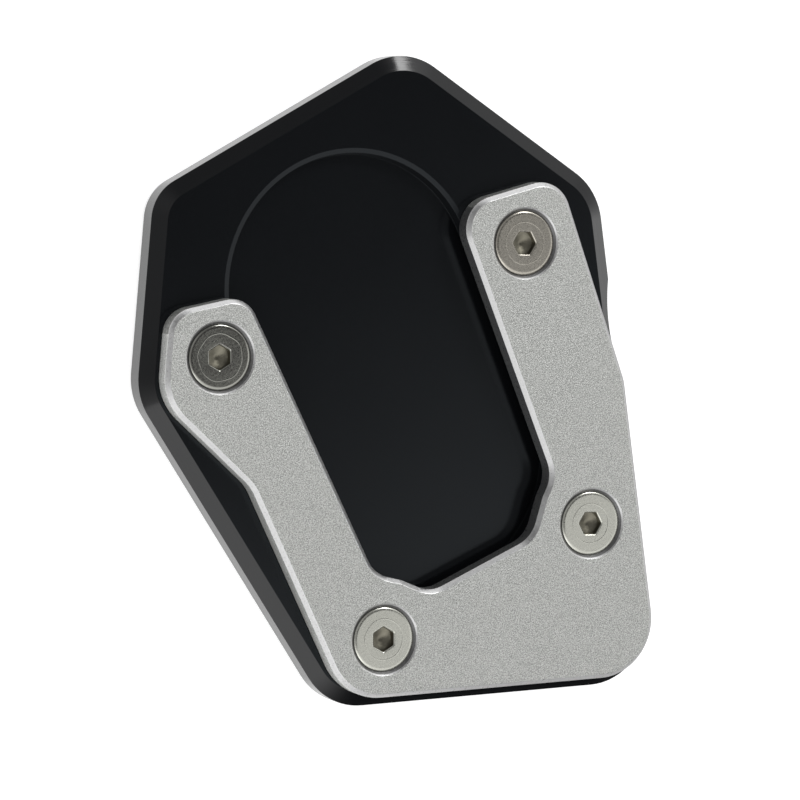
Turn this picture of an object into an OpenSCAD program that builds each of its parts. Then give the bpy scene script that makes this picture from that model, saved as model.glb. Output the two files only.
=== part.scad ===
// Foot enlarger for a motorbike kickstand. A base plate carries the stand's foot in a shallow pocket, and a
// forked clamp plate is screwed down over it. The origin lies on the ground under the centre of the pocket's
// front arc, the plate lies in XY and +Z is up.
// A side of a plate is a straight line, given by the angle of its outward normal and its distance from the
// origin. The corners come from where neighbouring sides meet.

/* [Base plate] */
// Thickness of the base plate
base_t = 5.8; // [5:0.1:12]
// Width of the bevel round the top edge
base_bevel_w = 2.6; // [1:0.1:3]
// Height of the bevel round the top edge
base_bevel_h = 1.3; // [0.6:0.1:2]
// Chamfer round the underside
base_foot_chamfer = 0.8; // [0.2:0.1:1.5]
// Radius of the plate's corners
base_corner_r = 12; // [8:0.5:14]
// Radius of the front left corner
base_nose_r = 8; // [6:0.5:12]

/* [Base sides] */
// Direction of the front side
base_front_dir = 94.5; // [90:0.1:98]
// Distance of the front side
base_front = 33; // [32:0.1:45]
// Direction of the front left side
base_front_left_dir = 150.9; // [148:0.1:154]
// Distance of the front left side
base_front_left = 39; // [38:0.1:50]
// Direction of the left side
base_left_dir = 188.6; // [186:0.1:191]
// Distance of the left side
base_left = 44.3; // [43:0.1:55]
// Direction of the rear side
base_rear_dir = 247.2; // [245:0.1:250]
// Distance of the rear side
base_rear = 75.3; // [73:0.1:90]
// Direction of the right side
base_right_dir = 344.1; // [342:0.1:346]
// Distance of the right side
base_right = 51.3; // [50:0.1:62]
// Direction of the front right side
base_front_right_dir = 32.3; // [29:0.1:35]
// Distance of the front right side
base_front_right = 41.6; // [40:0.1:52]

/* [Side relief] */
// Radius of the shallow hollow in the right side
relief_r = 26; // [18:0.5:40]
// Depth of the hollow
relief_depth = 1.3; // [0.5:0.1:2]
// Place of the hollow along the right side
relief_shift = 14.8; // [8:0.1:22]

/* [Foot pocket] */
// Radius of the pocket's round ends
pocket_r = 24.6; // [22:0.1:25]
// Distance between the centres of the two ends
pocket_run = 34.5; // [30:0.5:38]
// Lean of the pocket against the plate
pocket_lean = 1.5; // [0:0.1:3]
// Depth of the pocket in the base plate
pocket_depth = 2.2; // [1:0.1:3.5]
// Chamfer round the pocket's mouth
pocket_edge = 0.4; // [0.1:0.05:0.8]

/* [Clamp plate] */
// Thickness of the clamp plate
clamp_t = 3.8; // [3.4:0.1:6]
// Bevel round the top edge
clamp_bevel = 0.75; // [0.3:0.05:1.2]
// Broken edge round the underside
clamp_break = 0.2; // [0.1:0.05:0.4]
// Strip of the base plate that shows along the rear side
reveal_rear = 1.9; // [1:0.1:6]
// Strip of the base plate that shows along the right side
reveal_right = 1.5; // [1:0.1:6]
// Strip of the base plate that shows along the front left side
reveal_front_left = 3.2; // [2.8:0.1:6]
// Radius of the rear corners
clamp_corner_r = 10.5; // [6:0.5:12]
// Radius of the bend between the two stretches of the right side
clamp_bend_r = 8; // [4:0.5:12]
// Radius of the outer corners of the right prong
right_tip_r = 6; // [3:0.5:8]
// Radius of the front corners of the left prong
left_tip_r = 5; // [3:0.5:6]
// Radius of the left prong's outer corner
left_heel_r = 10; // [6:0.5:12]
// Radius of the hollow corner on the left side
waist_r = 8; // [4:0.5:20]
// Radius of the corners inside the fork
fork_r = 6; // [2:0.5:7]
// Radius of the bump on each slanted corner inside the fork
bump_r = 3; // [1:0.5:5]

/* [Clamp sides] */
// Direction of the front stretch of the right side
clamp_right_dir = -4.2; // [-8:0.1:-1]
// Distance of the front stretch of the right side
clamp_right = 43.7; // [43:0.1:45]
// Direction of the right prong's tip
right_tip_dir = 80.7; // [76:0.1:86]
// Distance of the right prong's tip
right_tip = 9.1; // [8:0.1:14]
// Direction of the left prong's tip
left_tip_dir = 76.7; // [72:0.1:82]
// Distance of the left prong's tip
left_tip = 3.3; // [2:0.1:8]
// Direction of the left prong's heel
left_heel_dir = 202.8; // [199:0.1:206]
// Distance of the left prong's heel
left_heel = 39.6; // [38.5:0.1:40.5]
// Direction of the left side
clamp_left_dir = 181.3; // [179:0.1:184]
// Distance of the left side
clamp_left = 33.8; // [33:0.1:36]
// Direction of the fork's left flank
fork_left_dir = 2.2; // [0:0.1:5]
// Distance of the fork's left flank
fork_left = 20; // [17:0.1:21]
// Distance of the fork's floor
fork_floor = 55.7; // [54:0.1:57]
// Direction of the fork's right flank
fork_right_dir = 177.9; // [175:0.1:180]
// Distance of the fork's right flank
fork_right = 22.5; // [19:0.1:23]

/* [Fork bumps] */
// Bend of the slanted corners at the bump
bump_bend = 10; // [4:1:14]
// Direction of the left slanted corner
left_slant_dir = 48; // [42:1:52]
// Left bump, to the left of the origin
left_bump_x = 14; // [12:0.1:15]
// Left bump, behind the origin
left_bump_y = 51; // [50:0.1:52]
// Direction of the right slanted corner
right_slant_dir = 134; // [129:1:138]
// Right bump, to the right of the origin
right_bump_x = 17.6; // [15:0.1:18]
// Right bump, behind the origin
right_bump_y = 49.9; // [49:0.1:51]

/* [Screws] */
// Diameter of the thread
screw_d = 6; // [5:0.1:6]
// Length over all
screw_len = 8; // [6:0.5:8.5]
// Diameter of the head
head_d = 12; // [10:0.1:12.4]
// Height of the head's straight rim
head_land = 0.15; // [0.1:0.05:0.3]
// Depth of the head below the clamp plate's top
head_recess = 0.4; // [0.1:0.05:0.6]
// Width of the hex socket across its flats
hex_w = 4; // [3:0.1:5]
// Depth of the hex socket
hex_depth = 2.1; // [1.5:0.1:2.6]
// Chamfer at the socket's mouth
hex_lead = 0.3; // [0.1:0.05:0.5]
// Chamfer at the thread's end
screw_tip = 0.6; // [0.2:0.1:1]
// Diameter of the clamp plate's clearance holes
clearance_d = 6.6; // [6.2:0.1:7]
// Gap round the thread in the base plate
thread_gap = 0.05; // [0.02:0.01:0.1]

/* [Screw places] */
// Left front screw to the left prong's tip
left_front_to_tip = 9.6; // [9:0.1:11]
// Left front screw to the front left side
left_front_to_side = 9.9; // [9:0.1:11]
// Right front screw to the right prong's tip
right_front_to_tip = 9.9; // [9:0.1:12]
// Right front screw to the right side
right_front_to_side = 10.8; // [9:0.1:12]
// Left rear screw to the left side
left_rear_to_side = 11.1; // [9:0.1:13]
// Left rear screw to the rear side
left_rear_to_rear = 10.5; // [9:0.1:12]
// Right rear screw to the right side
right_rear_to_side = 10.4; // [9:0.1:12]
// Right rear screw to the fork's right slanted corner
right_rear_to_fork = 11; // [9:0.1:13]

/* [Hidden] */

$fn = 96;
eps = 0.01;
above = 1;
arc_step = 5;
socket_point_angle = 60;
top_z = base_t + clamp_t;
head_z = top_z - head_recess;
head_cone_h = (head_d - screw_d) / 2;
tapped_d = screw_d + 2 * thread_gap;
sink_d = head_d + 2 * (head_recess + head_land);
sink_h = (sink_d - tapped_d) / 2;

// The base plate's sides, anticlockwise, with the radius of the corner before each of them
base_sides = [
    [base_front_dir, base_front, base_corner_r],
    [base_front_left_dir, base_front_left, base_nose_r],
    [base_left_dir, base_left, base_corner_r],
    [base_rear_dir, base_rear, base_corner_r],
    [base_right_dir, base_right, base_corner_r],
    [base_front_right_dir, base_front_right, base_corner_r]
];

// The clamp plate's sides, in the same form. Those of the fork face the origin, so they lie at a negative
// distance.
clamp_rear_side = [base_rear_dir, base_rear - reveal_rear, clamp_corner_r];
clamp_slant_side = [base_right_dir, base_right - reveal_right, clamp_corner_r];
clamp_right_side = [clamp_right_dir, clamp_right, clamp_bend_r];
right_tip_side = [right_tip_dir, right_tip, right_tip_r];
fork_right_side = [fork_right_dir, -fork_right, right_tip_r];
fork_right_upper_side = through([right_bump_x, -right_bump_y], right_slant_dir - bump_bend / 2, fork_r);
fork_right_lower_side = through([right_bump_x, -right_bump_y], right_slant_dir + bump_bend / 2, bump_r);
fork_floor_side = [90, -fork_floor, fork_r];
fork_left_lower_side = through([-left_bump_x, -left_bump_y], left_slant_dir - bump_bend / 2, fork_r);
fork_left_upper_side = through([-left_bump_x, -left_bump_y], left_slant_dir + bump_bend / 2, bump_r);
fork_left_side = [fork_left_dir, -fork_left, fork_r];
left_tip_side = [left_tip_dir, left_tip, left_tip_r];
front_left_side = [base_front_left_dir, base_front_left - reveal_front_left, left_tip_r];
left_heel_side = [left_heel_dir, left_heel, left_heel_r];
clamp_left_side = [clamp_left_dir, clamp_left, waist_r];
clamp_sides = [
    clamp_rear_side,
    clamp_slant_side,
    clamp_right_side,
    right_tip_side,
    fork_right_side,
    fork_right_upper_side,
    fork_right_lower_side,
    fork_floor_side,
    fork_left_lower_side,
    fork_left_upper_side,
    fork_left_side,
    left_tip_side,
    front_left_side,
    left_heel_side,
    clamp_left_side
];

// Centres of the screws, each set in from two sides of the clamp plate
left_front = meet(inset(left_tip_side, left_front_to_tip), inset(front_left_side, left_front_to_side));
right_front = meet(inset(clamp_right_side, right_front_to_side), inset(right_tip_side, right_front_to_tip));
left_rear = meet(inset(clamp_left_side, left_rear_to_side), inset(clamp_rear_side, left_rear_to_rear));
right_rear = meet(
    inset(clamp_slant_side, right_rear_to_side),
    inset(fork_right_upper_side, right_rear_to_fork)
);
screws = [left_front, right_front, left_rear, right_rear];

function dir(a) = [cos(a), sin(a)];
function inset(side, e) = [side[0], side[1] - e];
function through(p, a, r) = [a, p * dir(a), r];

// Point where two sides meet
function meet(s, t) =
    let (d = sin(t[0] - s[0]))
    [s[1] * sin(t[0]) - t[1] * sin(s[0]), t[1] * cos(s[0]) - s[1] * cos(t[0])] / d;

// Angle that the outline turns by from one side to the next, positive at a corner that stands out
function turn(s, t) = (t[0] - s[0] + 540) % 360 - 180;

// Points of one rounded corner, on an outline that lies e inside the plate's own
function corner(s, t, e) =
    let (
        bend = turn(s, t),
        r = sign(bend) * t[2],
        c = meet(inset(s, r), inset(t, r)),
        steps = max(2, ceil(abs(bend) / arc_step))
    )
    [for (i = [0:steps]) c + (r - e) * dir(s[0] + bend * i / steps)];

function outline(sides, e) = [
    for (i = [0:len(sides) - 1])
        each corner(sides[(i + len(sides) - 1) % len(sides)], sides[i], e)
];

function area2(a, b, c) = (b[0] - a[0]) * (c[1] - a[1]) - (b[1] - a[1]) * (c[0] - a[0]);
function within(p, a, b, c) = area2(a, b, p) >= 0 && area2(b, c, p) >= 0 && area2(c, a, p) >= 0;

// True if the corner at place k of the list ids can be cut off a face as a triangle
function is_ear(pts, ids, k) =
    let (
        n = len(ids),
        a = ids[(k + n - 1) % n],
        b = ids[k],
        c = ids[(k + 1) % n],
        blocking = [
            for (i = ids)
                if (i != a && i != b && i != c && within(pts[i], pts[a], pts[b], pts[c])) i
        ]
    )
    area2(pts[a], pts[b], pts[c]) > 0 && len(blocking) == 0;

// A flat face with hollow corners, split into triangles
function triangles(pts, ids, k = 0) =
    let (n = len(ids), j = k % n)
    n == 3 ? [ids]
    : !is_ear(pts, ids, j) ? triangles(pts, ids, j + 1)
    : concat(
        [[ids[(j + n - 1) % n], ids[j], ids[(j + 1) % n]]],
        triangles(pts, [for (i = [0:n - 1]) if (i != j) ids[i]], j + 1)
    );

// Solid skinned through outlines at several heights, each given as height and inset
module skin(sides, levels) {
    rings = [for (level = levels) [for (p = outline(sides, level[1])) [p[0], p[1], level[0]]]];
    n = len(rings[0]);
    last = (len(levels) - 1) * n;
    cap = triangles(rings[0], [for (i = [0:n - 1]) i]);
    polyhedron(
        points = [for (ring = rings) each ring],
        faces = concat(
            cap,
            [for (t = cap) [last + t[2], last + t[1], last + t[0]]],
            [
                for (k = [0:len(levels) - 2], i = [0:n - 1])
                    let (j = (i + 1) % n)
                    [k * n + i, (k + 1) * n + i, (k + 1) * n + j, k * n + j]
            ]
        )
    );
}

// Flat plate from z0 up, with a bevel round the top and a plain chamfer round the underside. The skin runs
// on past both faces, and a slab trims it flat.
module plate(sides, z0, t, bevel_w, bevel_h, foot) {
    over = 0.2;
    slab_w = 400;
    intersection() {
        skin(sides, [
            [z0 - over * foot, (1 + over) * foot],
            [z0 + foot, 0],
            [z0 + t - bevel_h, 0],
            [z0 + t + over * bevel_h, (1 + over) * bevel_w]
        ]);
        translate([-slab_w / 2, -slab_w / 2, z0])
            cube([slab_w, slab_w, t]);
    }
}

// Stadium with sloping flanks: radius r0 at the bottom and r1 at the top
module stadium(r0, r1, h) {
    rotate([0, 0, pocket_lean]) {
        for (y = [0, -pocket_run]) {
            translate([0, y, 0])
                cylinder(r1 = r0, r2 = r1, h = h);
        }
        rotate([90, 0, 0])
            linear_extrude(height = pocket_run)
                polygon([[-r0, 0], [r0, 0], [r1, h], [-r1, h]]);
    }
}

module foot_pocket() {
    translate([0, 0, base_t - pocket_depth])
        stadium(pocket_r, pocket_r, pocket_depth + eps);
    translate([0, 0, base_t - pocket_edge])
        stadium(pocket_r, pocket_r + pocket_edge + eps, pocket_edge + eps);
}

// Shallow upright hollow in the right side
module side_relief() {
    at = (base_right + relief_r - relief_depth) * dir(base_right_dir)
        - relief_shift * dir(base_right_dir + 90);
    translate([at[0], at[1], -eps])
        cylinder(r = relief_r, h = base_t + 2 * eps);
}

module base_plate() {
    color("#1b1c20")
        difference() {
            plate(base_sides, 0, base_t, base_bevel_w, base_bevel_h, base_foot_chamfer);
            foot_pocket();
            side_relief();
            for (at = screws) {
                translate([at[0], at[1], -eps])
                    cylinder(d = tapped_d, h = base_t + 2 * eps);
                countersink(at);
            }
        }
}

// Room for one screw's head, cut from both plates. It reaches into the base plate only where the head is
// taller than the clamp plate.
module countersink(at) {
    translate([at[0], at[1], top_z - sink_h])
        cylinder(d1 = tapped_d, d2 = sink_d + 2 * above, h = sink_h + above);
}

module clamp_plate() {
    color("#a6a7a8")
        difference() {
            plate(clamp_sides, base_t, clamp_t, clamp_bevel, clamp_bevel, clamp_break);
            for (at = screws) {
                translate([at[0], at[1], base_t - eps])
                    cylinder(d = clearance_d, h = clamp_t);
                countersink(at);
            }
        }
}

// Countersunk screw with a hex socket, turned about its own axis
module screw(at, angle) {
    cone_z = head_z - head_land;
    shank_z = cone_z - head_cone_h;
    end_z = head_z - screw_len;
    hex_r = hex_w / 2 / cos(30);
    point_h = hex_w / 2 / tan(socket_point_angle);
    color("#b9b4ab")
        translate([at[0], at[1], 0])
            rotate([0, 0, angle])
                difference() {
                    rotate_extrude()
                        polygon([
                            [0, end_z],
                            [screw_d / 2 - screw_tip, end_z],
                            [screw_d / 2, end_z + screw_tip],
                            [screw_d / 2, shank_z],
                            [head_d / 2, cone_z],
                            [head_d / 2, head_z - head_land / 2],
                            [head_d / 2 - head_land / 2, head_z],
                            [0, head_z]
                        ]);
                    translate([0, 0, head_z - hex_depth])
                        cylinder(r = hex_r, h = hex_depth + eps, $fn = 6);
                    translate([0, 0, head_z - hex_depth - point_h])
                        cylinder(r1 = 0, r2 = hex_w / 2, h = point_h);
                    translate([0, 0, head_z - hex_lead])
                        cylinder(r1 = hex_w / 2, r2 = hex_r + hex_lead, h = hex_lead + eps);
                }
}

module left_front_screw() {
    screw(left_front, 21);
}

module right_front_screw() {
    screw(right_front, 51);
}

module left_rear_screw() {
    screw(left_rear, 21);
}

module right_rear_screw() {
    screw(right_rear, 51);
}

base_plate();
clamp_plate();
left_front_screw();
right_front_screw();
left_rear_screw();
right_rear_screw();
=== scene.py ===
import math

import bmesh
import bpy
from mathutils import Matrix, Vector


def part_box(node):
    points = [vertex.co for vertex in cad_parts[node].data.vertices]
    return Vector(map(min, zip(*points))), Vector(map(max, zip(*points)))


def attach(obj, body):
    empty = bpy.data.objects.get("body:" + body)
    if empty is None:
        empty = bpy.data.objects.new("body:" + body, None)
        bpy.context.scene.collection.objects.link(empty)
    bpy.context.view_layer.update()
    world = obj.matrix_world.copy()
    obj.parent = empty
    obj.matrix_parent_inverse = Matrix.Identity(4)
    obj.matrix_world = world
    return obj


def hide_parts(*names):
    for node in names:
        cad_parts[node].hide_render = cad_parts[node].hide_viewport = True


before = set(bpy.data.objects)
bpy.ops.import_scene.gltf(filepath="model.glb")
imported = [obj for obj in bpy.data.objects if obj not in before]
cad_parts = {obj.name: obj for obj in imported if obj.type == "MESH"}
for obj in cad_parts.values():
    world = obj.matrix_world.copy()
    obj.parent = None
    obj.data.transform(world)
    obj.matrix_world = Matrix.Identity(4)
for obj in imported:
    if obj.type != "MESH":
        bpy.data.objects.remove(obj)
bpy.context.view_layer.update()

MM = 0.001


def srgb(value):
    """Linear value of an 8-bit sRGB level."""
    level = value / 255
    return level / 12.92 if level <= 0.04045 else ((level + 0.055) / 1.055) ** 2.4


def colour(red, green, blue):
    return (srgb(red), srgb(green), srgb(blue), 1.0)


def grey(level):
    return colour(level, level, level)


def link(thing):
    bpy.context.scene.collection.objects.link(thing)


# Camera, at the photo's place and angle

CAMERA_PLACE = (-0.2505, 0.1517, 0.6540)
CAMERA_RIGHT = (0.8310, -0.3655, 0.4193)
CAMERA_BACK = (-0.3498, 0.2428, 0.9048)
SENSOR_MM = 36
LENS_MM = 180


def make_camera():
    data = bpy.data.cameras.new("camera")
    data.sensor_width = SENSOR_MM
    data.lens = LENS_MM
    data.clip_start = 0.01
    data.clip_end = 20
    camera = bpy.data.objects.new("camera", data)
    back = Vector(CAMERA_BACK).normalized()
    up = back.cross(Vector(CAMERA_RIGHT).normalized()).normalized()
    right = up.cross(back)
    turn = Matrix((right, up, back)).transposed().to_4x4()
    camera.matrix_world = Matrix.Translation(CAMERA_PLACE) @ turn
    link(camera)
    bpy.context.scene.camera = camera


# Node trees

class Nodes:
    """Short calls for building the node tree of a material or the world."""

    def __init__(self, owner, output):
        self.owner = owner
        owner.use_nodes = True
        self.tree = owner.node_tree
        self.tree.nodes.clear()
        self.out = self.add(output)

    def add(self, kind, inputs=None, **settings):
        node = self.tree.nodes.new(kind)
        for key, value in settings.items():
            setattr(node, key, value)
        for key, value in (inputs or {}).items():
            self.put(node, key, value)
        return node

    def put(self, node, key, value):
        socket = node.inputs[key]
        if isinstance(value, bpy.types.NodeSocket):
            self.tree.links.new(value, socket)
        else:
            socket.default_value = value

    def math(self, operation, *values):
        return self.add("ShaderNodeMath", dict(enumerate(values)), operation=operation).outputs[0]

    def dot(self, vector, direction):
        node = self.add("ShaderNodeVectorMath", {0: vector, 1: direction}, operation="DOT_PRODUCT")
        return node.outputs["Value"]

    def place(self):
        """Object coordinates, in metres."""
        return self.add("ShaderNodeTexCoord").outputs["Object"]

    def noise(self, scale, detail, vector=None, rough=0.5):
        node = self.add("ShaderNodeTexNoise", {"Scale": scale, "Detail": detail, "Roughness": rough})
        self.put(node, "Vector", self.place() if vector is None else vector)
        return node.outputs["Fac"]

    def spread(self, value, low, high, from_low=0.3, from_high=0.7, smooth=False):
        """Map a value to low and high. The usual start and end are those of a noise."""
        node = self.add("ShaderNodeMapRange", {
            "Value": value, "From Min": from_low, "From Max": from_high, "To Min": low, "To Max": high,
        }, interpolation_type="SMOOTHSTEP" if smooth else "LINEAR")
        return node.outputs["Result"]

    def mix(self, share, first, second):
        """Mix two colours. A Mix node keeps its colour sockets at 6 and 7, and their result at 2."""
        return self.add("ShaderNodeMix", {0: share, 6: first, 7: second}, data_type="RGBA").outputs[2]

    def bump(self, height, strength, distance):
        node = self.add("ShaderNodeBump", {"Height": height, "Strength": strength, "Distance": distance})
        return node.outputs["Normal"]

    def finish(self, shader):
        self.tree.links.new(shader.outputs[0], self.out.inputs["Surface"])
        return self.owner

    def principled(self, inputs):
        return self.finish(self.add("ShaderNodeBsdfPrincipled", inputs))


def material(name):
    return Nodes(bpy.data.materials.new(name), "ShaderNodeOutputMaterial")


# Materials. Noise scales are in cells a metre and bump distances in metres.

CLOUD = 45
METAL_GRAIN = 2600
FINE_GRAIN = 5200
BLAST_GRAIN = 5400
BLAST_SPECK = 9000
# Scales by axis: the lines are long and level, and fine in height
CUT_LINES = (30, 30, 9000)
# Radians a metre outwards, which puts the rings 0.15 mm apart, and the noise in radians that moves them
TURNED_RINGS = 42000.0
WANDER_SCALE = 900
WANDER_REACH = 9.0


def black_anodised():
    """Smooth black with a slightly blue sheen, on the broad faces and in the pocket."""
    nodes = material("black_anodised")
    cloud = nodes.noise(CLOUD, 3)
    grain = nodes.noise(FINE_GRAIN, 2)
    return nodes.principled({
        "Base Color": nodes.mix(nodes.spread(cloud, 0, 1), colour(10, 11, 13), colour(12, 13, 15)),
        "Roughness": nodes.spread(grain, 0.15, 0.21),
        "IOR": 1.31,
        "Specular Tint": (0.86, 0.94, 1.0, 1),
        "Normal": nodes.bump(grain, 0.05, 0.00001),
    })


def black_cut(name, rough, ior):
    """Black anodised over the cutter's fine level lines, on the bevels and the sides."""
    nodes = material(name)
    stretched = nodes.add("ShaderNodeMapping", {"Vector": nodes.place(), "Scale": CUT_LINES}).outputs[0]
    lines = nodes.noise(1.0, 2, stretched)
    return nodes.principled({
        "Base Color": colour(14, 15, 17),
        "Roughness": nodes.spread(lines, rough, rough + 0.06),
        "IOR": ior,
        "Normal": nodes.bump(lines, 0.3, 0.00002),
    })


def silver_blasted(name, dark, light):
    """Blasted and anodised aluminium: fine pits in two tones, dark and light."""
    nodes = material(name)
    grain = nodes.noise(BLAST_GRAIN, 2, rough=0.6)
    speck = nodes.noise(BLAST_SPECK, 1)
    tones = [colour(tone, tone + 1, tone - 2) for tone in (dark, light)]
    return nodes.principled({
        "Base Color": nodes.mix(nodes.spread(grain, 0, 1, 0.38, 0.62), *tones),
        "Metallic": 0.65,
        "Roughness": nodes.spread(speck, 0.34, 0.43),
        "Normal": nodes.bump(grain, 0.7, 0.00014),
    })


def grained_metal(name, dark, light, metallic, smooth, rough, relief=None):
    """Cut metal with one fine grain in its colour, roughness and relief, a bump's strength and distance."""
    nodes = material(name)
    grain = nodes.noise(METAL_GRAIN, 3)
    inputs = {
        "Base Color": nodes.mix(nodes.spread(grain, 0, 1), dark, light),
        "Metallic": metallic,
        "Roughness": nodes.spread(grain, smooth, rough),
    }
    if relief is not None:
        inputs["Normal"] = nodes.bump(grain, *relief)
    return nodes.principled(inputs)


def stainless(name, smooth, rough, shade):
    """Turned steel: fine rings round the screw's own axis, which is the object's Z."""
    nodes = material(name)
    place = nodes.place()
    flat = nodes.add("ShaderNodeVectorMath", {0: place, 1: (1, 1, 0)}, operation="MULTIPLY").outputs[0]
    reach = nodes.add("ShaderNodeVectorMath", {0: flat}, operation="LENGTH").outputs["Value"]
    wander = nodes.math("MULTIPLY", nodes.noise(WANDER_SCALE, 2, place), WANDER_REACH)
    rings = nodes.math("SINE", nodes.math("MULTIPLY_ADD", reach, TURNED_RINGS, wander))
    grain = nodes.noise(METAL_GRAIN, 3, place)
    relief = nodes.add("ShaderNodeBump", {
        "Height": rings,
        "Strength": 0.06,
        "Distance": 0.00001,
        "Normal": nodes.bump(grain, 0.12, 0.00003),
    })
    return nodes.principled({
        "Base Color": shade,
        "Metallic": 1.0,
        "Roughness": nodes.spread(grain, smooth, rough),
        "Normal": relief.outputs["Normal"],
    })


# Stage and light

# Soft glows of the studio's walls and panels: direction, sharpness, strength
LOBES = [
    ((-0.1, 0.45, 0.89), 14, 0.8),
    ((0.9, 0.15, 0.4), 8, 1.0),
    ((0.85, -0.45, 0.25), 12, 0.6),
    ((0.89, -0.4, 0.22), 120, 3.2),
    ((-0.5, -0.4, 0.77), 14, 1.4),
    ((-0.85, -0.2, 0.45), 10, 1.4),
    ((-0.75, 0.5, 0.42), 12, 0.4),
    ((-0.45, 0.25, 0.86), 16, 0.2),
    ((-0.7, -0.68, 0.2), 10, 0.7),
    ((0.6, 0.8, 0.1), 10, 1.1),
    ((0.78, 0.32, 0.54), 30, 1.8),
]
# An overhead panel: its strength, and the slope y / z and the height z over which its two edges fade.
# Near the horizon z counts as LEAST_HEIGHT, which keeps the slope finite.
PANEL = 1.7
PANEL_SLOPE = (-0.33, -0.25)
PANEL_HEIGHT = (0.5, 0.75)
LEAST_HEIGHT = 0.05
# A glow round the horizon: its strength and how fast it falls off with the height
RING = 1.0
RING_FALL = -18.0

LAMP_PLACE = Vector((1.4, 0.92, 1.32))
LAMP_SIDE = 0.56
LAMP_WATTS = 15.6

FLOOR_HALF = 3.0
FLOOR_DROP = 0.05 * MM
# What the floor adds of its own, so that it is white: for the camera, and in mirrored light right and left
# of the part. The latter changes between two places along FLOOR_ACROSS, in metres.
FLOOR_SEEN = 0.75
FLOOR_MIRRORED = (0.15, 1.0)
FLOOR_ACROSS = (-0.8, 0.6, 0)
FLOOR_CHANGE = (-0.06, -0.035)


def make_world():
    world = bpy.data.worlds.new("studio")
    bpy.context.scene.world = world
    nodes = Nodes(world, "ShaderNodeOutputWorld")
    way = nodes.add("ShaderNodeTexCoord").outputs["Generated"]
    split = nodes.add("ShaderNodeSeparateXYZ", {0: way})
    y, z = split.outputs[1], split.outputs[2]
    total = 0.0
    for aim, sharp, strength in LOBES:
        near = nodes.dot(way, tuple(Vector(aim).normalized()))
        fall = nodes.math("EXPONENT", nodes.math("MULTIPLY_ADD", near, float(sharp), float(-sharp)))
        total = nodes.math("MULTIPLY_ADD", fall, strength, total)
    slope = nodes.math("DIVIDE", y, nodes.math("MAXIMUM", z, LEAST_HEIGHT))
    edge = nodes.spread(slope, 1, 0, *PANEL_SLOPE, smooth=True)
    lower = nodes.spread(z, 0, 1, *PANEL_HEIGHT, smooth=True)
    total = nodes.math("MULTIPLY_ADD", nodes.math("MULTIPLY", edge, lower), PANEL, total)
    height = nodes.math("POWER", nodes.math("ABSOLUTE", z), 2.0)
    ring = nodes.math("EXPONENT", nodes.math("MULTIPLY", height, RING_FALL))
    total = nodes.math("MULTIPLY_ADD", ring, RING, total)
    seen = nodes.add("ShaderNodeLightPath").outputs["Is Camera Ray"]
    nodes.finish(nodes.add("ShaderNodeBackground", {"Strength": nodes.math("MAXIMUM", total, seen)}))


def make_floor():
    mesh = bpy.data.meshes.new("floor")
    corners = [(x * FLOOR_HALF, y * FLOOR_HALF, 0) for x, y in ((-1, -1), (1, -1), (1, 1), (-1, 1))]
    mesh.from_pydata(corners, [], [(0, 1, 2, 3)])
    floor = bpy.data.objects.new("floor", mesh)
    floor.location.z = -FLOOR_DROP
    nodes = material("floor_white")
    paths = nodes.add("ShaderNodeLightPath")
    across = nodes.spread(nodes.dot(nodes.place(), FLOOR_ACROSS), *FLOOR_MIRRORED, *FLOOR_CHANGE)
    mirrored = nodes.math("MULTIPLY", paths.outputs["Is Glossy Ray"], across)
    seen = nodes.math("MULTIPLY_ADD", paths.outputs["Is Camera Ray"], FLOOR_SEEN, mirrored)
    paper = nodes.add("ShaderNodeBsdfDiffuse", {"Color": grey(196)})
    glow = nodes.add("ShaderNodeEmission", {"Strength": seen})
    both = nodes.add("ShaderNodeAddShader", {0: paper.outputs[0], 1: glow.outputs[0]})
    mesh.materials.append(nodes.finish(both))
    link(floor)


def make_lamp():
    data = bpy.data.lights.new("strip", "AREA")
    data.shape = "RECTANGLE"
    data.size = LAMP_SIDE
    data.size_y = LAMP_SIDE
    data.energy = LAMP_WATTS
    lamp = bpy.data.objects.new("strip", data)
    lamp.location = LAMP_PLACE
    lamp.rotation_mode = "QUATERNION"
    lamp.rotation_quaternion = (-LAMP_PLACE).to_track_quat("-Z", "Y")
    link(lamp)


# Plates. Sizes from here on are in mm, in the CAD's own frame.

# Screws: CAD node, steel, direction of a socket corner in degrees, and the radius and waviness of the
# faint ring on the face. The steels are one steel in lit and shaded copies: the dark and warm ones are
# painted shade on faces that mirror a darker part of the studio.
SCREWS = [
    ("left_front_screw", "dark", 7, 4.15, 0.018),
    ("right_front_screw", "warm", 34, 3.8, 0.008),
    ("left_rear_screw", "plain", 6, 3.7, 0.005),
    ("right_rear_screw", "plain", 34, 3.6, 0.006),
]
# Reach of a screw seat, and the height below which a seat is painted dark as painted shade of the gap round
# the head
SEAT_REACH = 6.6
SEAT_PAINTED_SHADE_TOP = 9.34

# The pocket's middle line runs from the origin to POCKET_END
POCKET_LEAN = math.radians(1.5)
POCKET_RUN = 34.5
POCKET_END = Vector((math.sin(POCKET_LEAN), -math.cos(POCKET_LEAN))) * POCKET_RUN
# The CAD's wall and chamfer lie between these distances from that line. Faces nearer than POCKET_REACH
# are the pocket's.
POCKET_WALL = (24.4, 25.2)
POCKET_REACH = 25.1
# The mouth, the chamfer's foot and the wall's foot: above which CAD height they are found, their new
# distance and their new height
POCKET_RINGS = [(5.7, 24.8, 5.8), (5.0, 23.95, 5.62), (3.5, 23.6, 3.6)]

FORK_LEFT = -21
FORK_RIGHT = 23.2
FORK_REAR = -57

# Share of Z in a face's normal, above which it is flat on each plate, and above which it is a bevel
BASE_FLAT = 0.97
CLAMP_FLAT = 0.95
BEVELLED = 0.3
# Share of X or Y in the normal of a side that faces left into the fork, or to the front
LEFTWARDS = -0.4
FRONTWARDS = 0.5

# Places in a plate's list of surfaces
BROAD, BEVEL, SIDE, SEAT = range(4)

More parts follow.
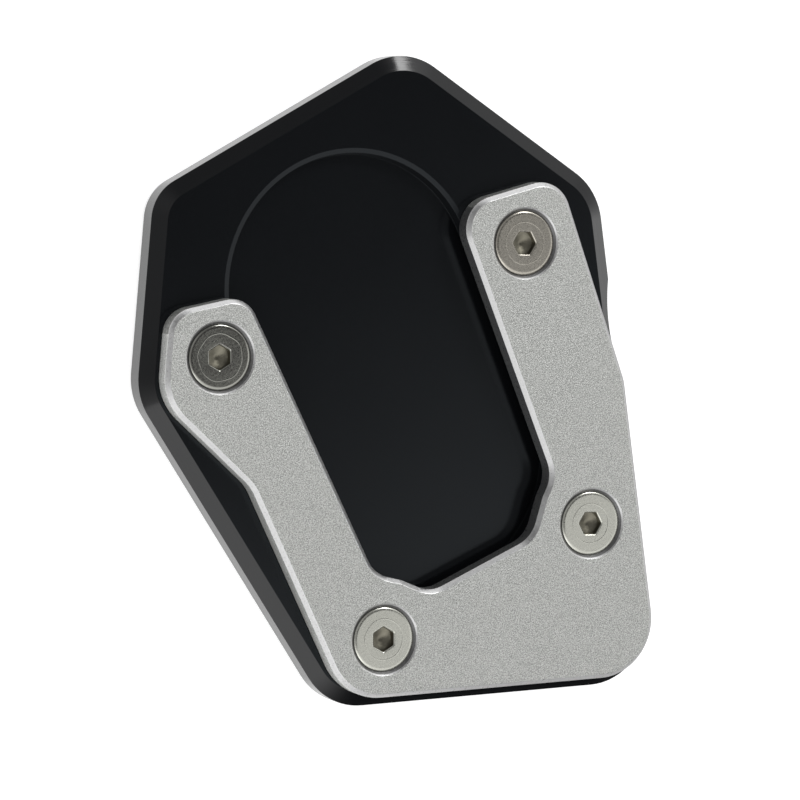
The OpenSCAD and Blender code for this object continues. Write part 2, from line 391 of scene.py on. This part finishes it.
# CAD corners nearer than WELD are joined, and so are faces within FLAT_ANGLE. Edges sharper than
# EDGE_ANGLE are broken.
WELD = 0.002
FLAT_ANGLE = math.radians(0.4)
EDGE_ANGLE = math.radians(11)
EDGE_SEGMENTS = 3


def top_centre(node):
    """The middle of a node's top, in metres."""
    low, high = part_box(node)
    return Vector(((low[0] + high[0]) / 2, (low[1] + high[1]) / 2, high[2]))


SCREW_PLACES = [(top_centre(screw[0]) / MM)[:2] for screw in SCREWS]


def to_screw(place):
    """Distance from a place to the nearest screw's axis."""
    return min(math.dist(place[:2], axis) for axis in SCREW_PLACES)


def nearest_on_pocket(place):
    """The point of the pocket's middle line that is nearest to a place."""
    along = place.dot(POCKET_END) / POCKET_END.length_squared
    return POCKET_END * max(0.0, min(1.0, along))


def off_pocket(place):
    """Distance from the pocket's middle line."""
    return (place - nearest_on_pocket(place)).length


def soften_pocket(bm):
    """Lay the chamfer round the pocket's mouth flatter and wider and lean its wall, as in the photo."""
    for vert in bm.verts:
        place = (vert.co / MM).xy
        targets = [(reach, height) for above, reach, height in POCKET_RINGS if vert.co.z / MM > above]
        if targets and POCKET_WALL[0] < off_pocket(place) < POCKET_WALL[1]:
            reach, height = targets[0]
            foot = nearest_on_pocket(place)
            out = (place - foot).normalized() * reach + foot
            vert.co = Vector((out.x, out.y, height)) * MM


def split_seats(bm):
    """Part each screw seat at one height, so that only its lower part is painted dark: painted shade of the
    deep gap round the head.
    """
    near = [
        face for face in bm.faces
        if to_screw(face.calc_center_median() / MM) < SEAT_REACH
        and BEVELLED < abs(face.normal.z) < CLAMP_FLAT
    ]
    edges = {edge for face in near for edge in face.edges}
    verts = {vert for face in near for vert in face.verts}
    bmesh.ops.bisect_plane(
        bm, geom=[*near, *edges, *verts], dist=1e-7,
        plane_co=(0, 0, SEAT_PAINTED_SHADE_TOP * MM), plane_no=(0, 0, 1),
    )


def base_finish(centre, normal):
    """The surface of a face of the base plate."""
    if abs(normal.z) > BASE_FLAT or off_pocket(centre.xy) < POCKET_REACH:
        return BROAD
    return BEVEL if abs(normal.z) > BEVELLED else SIDE


def clamp_finish(centre, normal):
    """The surface of a face of the clamp plate. The fork's inside and the top of each seat are cut like the
    bevels, and the lower part of each seat gets painted shade. The front ends are blasted like the broad
    faces, and the long outer sides get painted light, a paler copy of the blasted silver."""
    tilt = abs(normal.z)
    if tilt > CLAMP_FLAT:
        return BROAD
    if to_screw(centre) < SEAT_REACH:
        return SEAT if centre.z < SEAT_PAINTED_SHADE_TOP else BEVEL
    facing_fork = centre.x > 0 and normal.x < LEFTWARDS
    in_fork = centre.y > FORK_REAR and (FORK_LEFT < centre.x < FORK_RIGHT or facing_fork)
    if tilt > BEVELLED or in_fork:
        return BEVEL
    # The long outer sides get the paler copy of the silver, which is painted light
    return SIDE if normal.y < FRONTWARDS else BROAD


def stand_in(piece, node):
    """Let a piece take the place of a CAD node, with flat faces that shade flat."""
    link(piece)
    normals = piece.modifiers.new("flat_faces", "WEIGHTED_NORMAL")
    normals.keep_sharp = True
    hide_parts(node)
    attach(piece, "root")


def dressed_plate(node, surfaces, sort, edge, shape=None, split=None):
    """A copy of a CAD plate with its flat faces joined and each sharp edge broken by a round of width edge.
    sort picks a face's place in surfaces from its centre and normal. shape changes the mesh before its
    faces are joined, and split after that."""
    bm = bmesh.new()
    bm.from_mesh(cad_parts[node].data)
    bmesh.ops.remove_doubles(bm, verts=bm.verts, dist=WELD * MM)
    if shape is not None:
        shape(bm)
    bmesh.ops.dissolve_limit(
        bm, angle_limit=FLAT_ANGLE, use_dissolve_boundaries=False,
        verts=bm.verts, edges=bm.edges, delimit=set(),
    )
    if split is not None:
        split(bm)
    mesh = bpy.data.meshes.new(node + "_finished")
    bm.to_mesh(mesh)
    bm.free()
    mesh.shade_smooth()
    for surface in surfaces:
        mesh.materials.append(surface)
    for face in mesh.polygons:
        face.material_index = sort(face.center / MM, face.normal)
    piece = bpy.data.objects.new(node + "_finished", mesh)
    bevel = piece.modifiers.new("broken_edges", "BEVEL")
    bevel.width = edge * MM
    bevel.segments = EDGE_SEGMENTS
    bevel.limit_method = "ANGLE"
    bevel.angle_limit = EDGE_ANGLE
    bevel.use_clamp_overlap = True
    stand_in(piece, node)


# Screws. Their face is at height 0 and their tip at -LENGTH. A ring is a radius by angle, and a height.

STEPS = 96
SHARP_ANGLE = math.radians(32)
LENGTH = 8.0
TIP_R = 2.4
THREAD_R = 3.0
THREAD_DEPTH = 0.34
THREAD_TOP = -3.55
THREAD_STEP = 0.1
HEAD_R = 5.82
# The head's rounded rim, and how far inside it the face's first ring lies
ROUND_STEPS = 8
ROUND_REACH = 0.6
ROUND_HEIGHT = 0.3
ROUND_END = 0.08
# The hex socket's reach at its flats and its corners, and the bottom of its cone
HALF_FLAT = 2.0
CORNER_R = 2.24
SOCKET_BOTTOM = -1.92

# Radius and height
NECK_PROFILE = [(2.95, -3.45), (THREAD_R, -3.15), (HEAD_R, -ROUND_HEIGHT)]
CONE_PROFILE = [(1.95, -1.36), (1.4, -1.53), (0.7, -1.73)]
# Growth past the outline, and height
MARK_PROFILE = [(0.11, 0), (0.08, 0), (0.03, 0.014), (-0.02, 0.014), (-0.07, -0.012), (-0.1, -0.012)]
MOUTH_PROFILE = [(0.26, -0.012), (0.2, -0.013), (0.16, -0.02), (0.03, -0.13), (0.0, -0.17)]
SOCKET_PROFILE = [(0, -0.22), (0, -0.8), (0, -1.35)]


def circle(reach):
    """A round ring."""
    return lambda angle: reach


def thread(z):
    """The M6 thread at one height, a triangular ridge that climbs 1 mm a turn and starts in a chamfer."""
    def radius(angle):
        phase = (z - angle / math.tau) % 1
        return min(THREAD_R - THREAD_DEPTH * abs(2 * phase - 1), TIP_R + (z + LENGTH))

    return radius


def mark(reach, wave, grow):
    """The faint ring on the head, not quite round: it has five and eight waves in a turn."""
    def radius(angle):
        return reach * (1 + wave * (math.sin(5 * angle + 1) + 0.6 * math.sin(8 * angle))) + grow

    return radius


def hexagon(turn, grow):
    """The socket's outline, with its corners slightly rounded off."""
    def radius(angle):
        off = (math.degrees(angle) - turn) % 60 - 30
        return min(HALF_FLAT / math.cos(math.radians(off)), CORNER_R) + grow

    return radius


def screw_rings(turn, reach, wave):
    """The rings of a screw from its tip to the socket's floor, and how many bands between them lie outside
    the socket."""
    rings = [(circle(TIP_R), -LENGTH)]
    z = -LENGTH + THREAD_STEP
    while z < THREAD_TOP:
        rings.append((thread(z), z))
        z += THREAD_STEP
    rings += [(circle(radius), height) for radius, height in NECK_PROFILE]
    for step in range(1, ROUND_STEPS + 1):
        bend = math.radians(90 * step / ROUND_STEPS)
        inwards = ROUND_REACH * (1 - math.cos(bend))
        rings.append((circle(HEAD_R - inwards), ROUND_HEIGHT * (math.sin(bend) - 1)))
    rings.append((circle(HEAD_R - ROUND_REACH - ROUND_END), 0))
    rings += [(mark(reach, wave, grow), height) for grow, height in MARK_PROFILE]
    rings += [(hexagon(turn, grow), height) for grow, height in MOUTH_PROFILE]
    outside = len(rings) - 1
    rings += [(hexagon(turn, grow), height) for grow, height in SOCKET_PROFILE]
    rings += [(circle(radius), height) for radius, height in CONE_PROFILE]
    return rings, outside


def socket_screw(node, surface, inside, turn, reach, wave):
    """A countersunk screw on the CAD screw's place and size, with a rounded rim, a faint ring on the face
    and a threaded shank. turn is the direction of a socket corner, reach the faint ring's radius."""
    rings, outside = screw_rings(turn, reach, wave)
    verts = []
    for radius, z in rings:
        for step in range(STEPS):
            angle = math.radians(turn) + math.tau * step / STEPS
            across = radius(angle)
            verts.append((across * math.cos(angle) * MM, across * math.sin(angle) * MM, z * MM))
    faces = []
    for start in range(0, (len(rings) - 1) * STEPS, STEPS):
        for step in range(STEPS):
            here = start + step
            after = start + (step + 1) % STEPS
            faces.append((here, after, after + STEPS, here + STEPS))
    floor = len(verts)
    tip = floor + 1
    verts += [(0, 0, SOCKET_BOTTOM * MM), (0, 0, -LENGTH * MM)]
    last = floor - STEPS
    faces += [(last + step, last + (step + 1) % STEPS, floor) for step in range(STEPS)]
    faces += [((step + 1) % STEPS, step, tip) for step in range(STEPS)]
    mesh = bpy.data.meshes.new(node + "_turned")
    mesh.from_pydata(verts, [], faces)
    mesh.shade_smooth()
    mesh.set_sharp_from_angle(angle=SHARP_ANGLE)
    mesh.materials.append(surface)
    mesh.materials.append(inside)
    for face in mesh.polygons[outside * STEPS:-STEPS]:
        face.material_index = 1
    piece = bpy.data.objects.new(node + "_turned", mesh)
    piece.location = top_centre(node)
    stand_in(piece, node)


bpy.context.scene.view_settings.view_transform = "Standard"
make_camera()
make_world()
make_floor()
make_lamp()

dressed_plate(
    "base_plate",
    [
        black_anodised(),
        black_cut("black_bevel", rough=0.08, ior=1.36),
        black_cut("black_side", rough=0.16, ior=1.62),
    ],
    sort=base_finish, edge=0.15, shape=soften_pocket,
)
dressed_plate(
    "clamp_plate",
    [
        silver_blasted("silver_anodised", dark=138, light=206),
        grained_metal(
            "silver_milled", dark=grey(186), light=grey(200),
            metallic=0.92, smooth=0.26, rough=0.36, relief=(0.25, 0.00003),
        ),
        # A paler copy of the blasted silver on the long outer sides: painted light on the walls
        silver_blasted("silver_side_painted_light", dark=194, light=246),
        # Darker silver on the lower part of each screw seat: painted shade of the deep gap round the head
        grained_metal(
            "silver_painted_shade", dark=grey(100), light=grey(118),
            metallic=0.8, smooth=0.3, rough=0.4,
        ),
    ],
    sort=clamp_finish, edge=0.12, split=split_seats,
)

# One steel in three colours: the dark and warm copies are painted shade of the darker studio their faces
# mirror
steels = {
    "dark": stainless("stainless_painted_dark", smooth=0.12, rough=0.2, shade=colour(142, 142, 136)),
    "warm": stainless("stainless_painted_dim", smooth=0.2, rough=0.3, shade=colour(164, 160, 151)),
    "plain": stainless("stainless", smooth=0.2, rough=0.3, shade=colour(180, 180, 172)),
}
# Darker, warmer steel inside the hex sockets: painted shade of the recess
socket_painted_shade = grained_metal(
    "stainless_socket_painted_shade", dark=colour(108, 105, 94), light=colour(118, 115, 103),
    metallic=0.95, smooth=0.28, rough=0.36, relief=(0.15, 0.00004),
)
for screw_node, steel, *sizes in SCREWS:
    socket_screw(screw_node, steels[steel], socket_painted_shade, *sizes)
